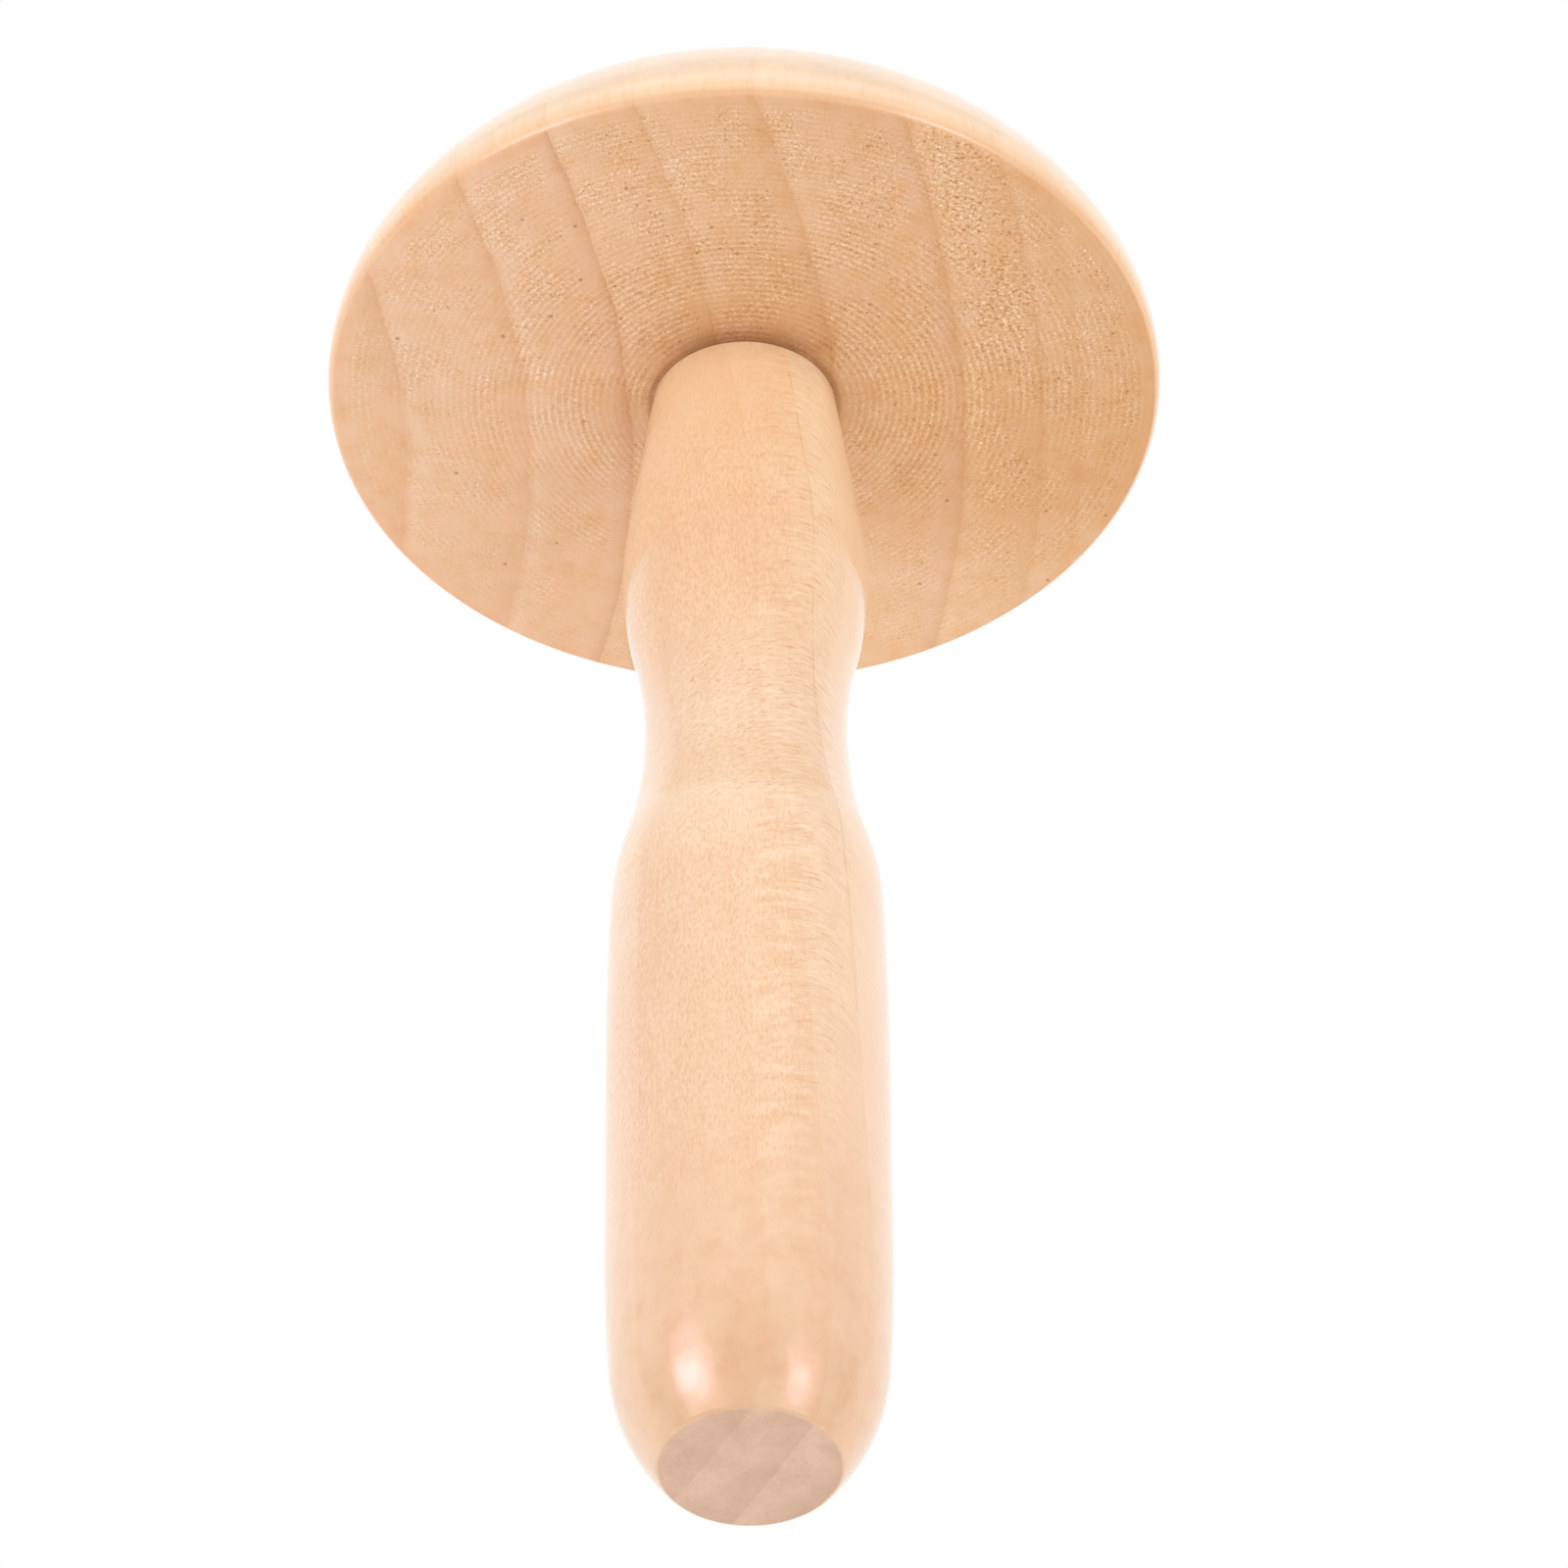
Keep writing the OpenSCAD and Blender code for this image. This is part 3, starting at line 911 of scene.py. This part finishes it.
        # Painted light: the paler patches all stand in for light
        paler = highest(low_left, high_sides, foot, grip)
        return [((1.025, 1.11, 1.155), paler), ((0.985, 0.925, 0.88), streak)]

    def stain_layers(self):
        """Faint long streaks, clouds, and blots on the nose."""
        streaks = (self.spot * (0.5, 0.5, 0.02)).noise(1, 3, 0.6)
        streaks = streaks.ramp((0.3, (0.985, 0.965, 0.945)), (0.7, 1))
        clouds = self.spot.noise(0.12, 3, 0.6)
        clouds = clouds.ramp((0.35, (0.99, 0.97, 0.955)), (0.5, 1), (0.65, (1.005, 1.02, 1.03)))
        blots = (self.spot + (5, 3, 0)).noise(0.42, 3, 0.65)
        blots = blots.ramp((0.34, (0.965, 0.925, 0.885)), (0.5, 1), (0.66, (1.015, 1.045, 1.06)))
        return [(streaks, 1), (clouds, 1), (blots, self.z.rise(38, 14))]

    def body(self, colour):
        """The colour of the varnished wood."""
        return self.tree.tinted(
            colour,
            *self.ring_layers(),
            self.drift_and_painted_light_layer(),
            *self.stain_layers(),
            *self.painted_light_and_streak_layers(),
            self.fibre_layer(),
            self.curl_layer(),
            self.bar_layer(),
        )

    def flat_end(self, colour):
        """The colour of the bare flat end, with its rings."""
        rings = self.season.ramp(
            (0, 1), (0.3, (0.985, 0.98, 0.965)), (0.75, (0.955, 0.93, 0.925)), (1, (0.92, 0.89, 0.89))
        )
        clouds = self.spot.noise(0.26, 4, 0.6)
        clouds = clouds.ramp((0.34, (0.92, 0.90, 0.90)), (0.5, 1), (0.64, (1.07, 1.085, 1.10)))
        flecks = self.spot.noise(2.4).ramp((0.3, (0.95, 0.94, 0.92)), (0.55, 1))
        return self.tree.tinted(colour, (rings, 1), (clouds, 1), (flecks, 1))


def handle_material(look):
    """Pale hardwood with a curly strip, varnished all over but for the flat end."""
    material, tree, shader = new_material("handle_wood")
    wood = HandleWood(tree)
    body = wood.body(tuple(look.varnished))
    flat_end = wood.flat_end(tuple(look.end_face))
    tree.feed(shader.inputs["Base Color"], tree.blend(wood.bare, body, flat_end))
    relief = sum(wood.bumps).bump(0.4, 0.03 * MM)
    skin = wood.spot.noise(0.5, roughness=0.45).bump(0.5, 0.1 * MM)
    finish_wood(tree, shader, look, wood.bare, relief, skin)
    return material


def glue_material():
    """Dried glue, cloudy and a little uneven."""
    material, tree, shader = new_material("dried_glue")
    cloud = place_in_mm(tree).noise(0.8, 3)
    tree.feed(shader.inputs["Base Color"], cloud.ramp((0.3, (0.78, 0.70, 0.48)), (0.7, (0.88, 0.82, 0.64))))
    tree.feed(shader.inputs["Roughness"], cloud.rise(0.3, 0.7, 0.35, 0.55))
    return material


class MUSHROOM_OT_cap(bpy.types.Operator):
    """Turn the cap: a dome with a nearly flat underside that shows the tool's marks"""

    bl_idname = "mushroom.cap"
    bl_label = "Turn the cap"

    def execute(self, context):
        sizes, look = context.scene.mushroom_cap, context.scene.mushroom_wood
        rim = sizes.seat_height + sizes.underside_rise
        groove = {
            "Groove pitch": sizes.groove_pitch,
            "Groove depth": sizes.groove_depth,
            "Groove from radius": sizes.seat_radius,
            "Groove to radius": sizes.diameter / 2 - sizes.widest_height / 2,
            "Groove below": rim + POINT_GAP,
        }
        piece = turn_piece("cap_turned", cap_outline(sizes), cap_material(look, sizes), groove)
        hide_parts("cap")
        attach(piece, BODY)
        return {"FINISHED"}


class MUSHROOM_OT_handle(bpy.types.Operator):
    """Turn the handle: a straight grip, a slim waist, a swelling under the cap and a tenon"""

    bl_idname = "mushroom.handle"
    bl_label = "Turn the handle"

    def execute(self, context):
        sizes, look = context.scene.mushroom_handle, context.scene.mushroom_wood
        piece = turn_piece("handle_turned", handle_outline(sizes), handle_material(look))
        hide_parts("handle")
        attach(piece, BODY)
        return {"FINISHED"}


class MUSHROOM_OT_glue(bpy.types.Operator):
    """Finish the film of glue round the tenon"""

    bl_idname = "mushroom.glue"
    bl_label = "Finish the glue"

    def execute(self, context):
        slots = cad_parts["glue_film"].material_slots
        if not slots:
            raise RuntimeError("the glue film has no material slot")
        for slot in slots:
            slot.material = glue_material()
        return {"FINISHED"}


# Azimuth and elevation of the two softboxes, in degrees
SOFTBOXES = {"softbox_left": (-47.6, -15.0), "softbox_right": (48.0, -18.0)}
# How far off the softboxes stand, their width, the lamp overhead, and the point that all three light
SOFTBOX_DISTANCE = 0.8
SOFTBOX_WIDTH = 0.5
TOP_PLACE = (0, -0.6, 0.72)
TOP_WIDTH = 0.8
LAMP_AIM = (0, 0, 0.05)
# The floor's width, and its gap to the flat end
FLOOR_WIDTH = 6.0
FLOOR_GAP = 0.2 * MM
# What varnish mirrors: azimuth, elevation, angle of the even middle, angle of the faded edge, and strength
MIRRORED_GLOWS = (
    (-46.5, -15.5, 6.5, 11.5, 0.95),
    (-47.0, -13.0, 9.0, 18.0, 0.35),
    (-52.0, 1.0, 9.0, 18.0, 0.7),
    (-60.0, -10.0, 5.0, 11.0, 1.1),
    (47.0, -18.5, 7.5, 11.5, 0.8),
    (46.5, -17.0, 8.0, 15.0, 0.3),
    (45.0, -4.0, 8.0, 16.0, 0.25),
)


class MUSHROOM_OT_stage(bpy.types.Operator):
    """Set the camera, the floor and the light"""

    bl_idname = "mushroom.stage"
    bl_label = "Set the stage"

    def execute(self, context):
        stage = context.scene.mushroom_stage
        context.scene.view_settings.view_transform = "Standard"
        set_camera(context.scene, stage)
        set_floor(context.scene)
        set_world(context.scene, stage)
        for name, way in SOFTBOXES.items():
            place = SOFTBOX_DISTANCE * heading(*way)
            add_lamp(context.scene, name, place, SOFTBOX_WIDTH, stage.softbox_power)
        add_lamp(context.scene, "lamp_overhead", Vector(TOP_PLACE), TOP_WIDTH, stage.top_power)
        return {"FINISHED"}


def heading(azimuth, elevation):
    """Unit vector to a direction in degrees, where azimuth 0 is the camera's side and 90 is +X."""
    turn, lift = math.radians(azimuth), math.radians(elevation)
    return Vector((math.sin(turn) * math.cos(lift), -math.cos(turn) * math.cos(lift), math.sin(lift)))


def set_camera(scene, stage):
    """The camera, at the photograph's place."""
    data = bpy.data.cameras.new("camera")
    data.lens = stage.lens
    data.sensor_width = 36
    data.clip_start, data.clip_end = 0.01, 20
    camera = bpy.data.objects.new("camera", data)
    scene.collection.objects.link(camera)
    place = Vector(stage.camera_place)
    camera.location = place
    camera.rotation_mode = "QUATERNION"
    level = (Vector(stage.camera_aim) - place).to_track_quat("-Z", "Y")
    camera.rotation_quaternion = level @ Quaternion((0, 0, 1), stage.camera_roll)
    scene.camera = camera


def set_floor(scene):
    """A pale floor just under the flat end. Seen from below, it lets the view through."""
    half, drop = FLOOR_WIDTH / 2, -FLOOR_GAP
    mesh = bpy.data.meshes.new("floor")
    corners = [(-half, -half, drop), (half, -half, drop), (half, half, drop), (-half, half, drop)]
    mesh.from_pydata(corners, [], [(0, 1, 2, 3)])
    floor = bpy.data.objects.new("floor", mesh)
    scene.collection.objects.link(floor)
    material, tree, shader = new_material("floor_paper")
    shader.inputs["Base Color"].default_value = (0.86, 0.86, 0.86, 1)
    shader.inputs["Roughness"].default_value = 0.9
    below = tree.made("ShaderNodeNewGeometry", output="Backfacing")
    paper, clear = Value(tree, shader.outputs[0]), tree.made("ShaderNodeBsdfTransparent")
    mix = tree.made("ShaderNodeMixShader", (below, paper, clear))
    tree.feed(material.node_tree.nodes["Material Output"].inputs["Surface"], mix)
    mesh.materials.append(material)
    floor.visible_shadow = False
    floor.visible_diffuse = False
    floor.visible_glossy = False
    floor.visible_transmission = False


def set_world(scene, stage):
    """Soft light all round, a little stronger from the sides. A view or a mirror image of it is white."""
    world = bpy.data.worlds.new("studio")
    scene.world = world
    world.use_nodes = True
    tree = Tree(world.node_tree)
    direction = tree.made("ShaderNodeTexCoord", output="Generated")
    across, away, up = direction.parts()
    path = tree.outputs("ShaderNodeLightPath")
    viewed = path["Is Camera Ray"]
    mirrored = highest(path["Is Glossy Ray"], path["Is Transmission Ray"])
    background = world.node_tree.nodes["Background"]
    background.inputs["Color"].default_value = (1, 1, 1, 1)
    tree.feed(background.inputs["Strength"], across * across * stage.side_light + stage.ambient)
    glow = 0
    for azimuth, elevation, inner, outer, power in MIRRORED_GLOWS:
        inputs = direction, heading(azimuth, elevation)
        near = tree.made("ShaderNodeVectorMath", inputs, "Value", operation="DOT_PRODUCT")
        edges = math.cos(math.radians(outer)), math.cos(math.radians(inner))
        glow += near.rise(*edges, 0, power * stage.softbox_glow)
    # Mirrored, the side that the camera is on is dark low down, and the softboxes look a little pink
    room = highest(away.rise(0.06, 0.19, 0, 1.05), up.rise(-0.1, 0.4, 0, 0.82))
    tint = tree.blend(glow.rise(0, 1) * mirrored, (1, 1, 1), (1, 0.73, 0.97))
    backdrop = tree.made("ShaderNodeBackground", (tint, (1 - viewed) * (room + glow) + viewed))
    even = Value(tree, background.outputs[0])
    mix = tree.made("ShaderNodeMixShader", (highest(mirrored, viewed), even, backdrop))
    tree.feed(world.node_tree.nodes["World Output"].inputs["Surface"], mix)


def add_lamp(scene, name, place, width, power):
    """A soft square lamp that points at the handle. The camera doesn't see the lamp itself."""
    data = bpy.data.lights.new(name, "AREA")
    data.shape = "SQUARE"
    data.size = width
    data.energy = power
    lamp = bpy.data.objects.new(name, data)
    scene.collection.objects.link(lamp)
    lamp.location = place
    lamp.rotation_mode = "QUATERNION"
    lamp.rotation_quaternion = (Vector(LAMP_AIM) - place).to_track_quat("-Z", "Y")
    lamp.visible_camera = False


class MUSHROOM_PT_panel(bpy.types.Panel):
    """Lists the steps and their sizes"""

    bl_label = "Darning Mushroom"
    bl_space_type = "VIEW_3D"
    bl_region_type = "UI"
    bl_category = "Darning Mushroom"

    def draw(self, context):
        layout = self.layout
        for step in STEPS:
            layout.operator(step.bl_idname)
        for name in SETTINGS:
            group = getattr(context.scene, name)
            box = layout.box()
            for prop in group.bl_rna.properties:
                if prop.identifier not in {"rna_type", "name"}:
                    box.prop(group, prop.identifier)


STEPS = (MUSHROOM_OT_stage, MUSHROOM_OT_cap, MUSHROOM_OT_handle, MUSHROOM_OT_glue)
SETTINGS = {
    "mushroom_cap": CapSizes,
    "mushroom_handle": HandleSizes,
    "mushroom_wood": WoodLook,
    "mushroom_stage": StageLook,
}


def register():
    """Adds the settings, the operators and the panel to Blender."""
    for name, kind in SETTINGS.items():
        bpy.utils.register_class(kind)
        setattr(bpy.types.Scene, name, PointerProperty(type=kind))
    for kind in (*STEPS, MUSHROOM_PT_panel):
        bpy.utils.register_class(kind)


def unregister():
    """Takes them out again."""
    for kind in (MUSHROOM_PT_panel, *reversed(STEPS)):
        bpy.utils.unregister_class(kind)
    for name, kind in SETTINGS.items():
        delattr(bpy.types.Scene, name)
        bpy.utils.unregister_class(kind)


def main():
    """Makes the whole scene."""
    register()
    bpy.ops.mushroom.stage()
    bpy.ops.mushroom.cap()
    bpy.ops.mushroom.handle()
    bpy.ops.mushroom.glue()


if __name__ == "__main__":
    main()
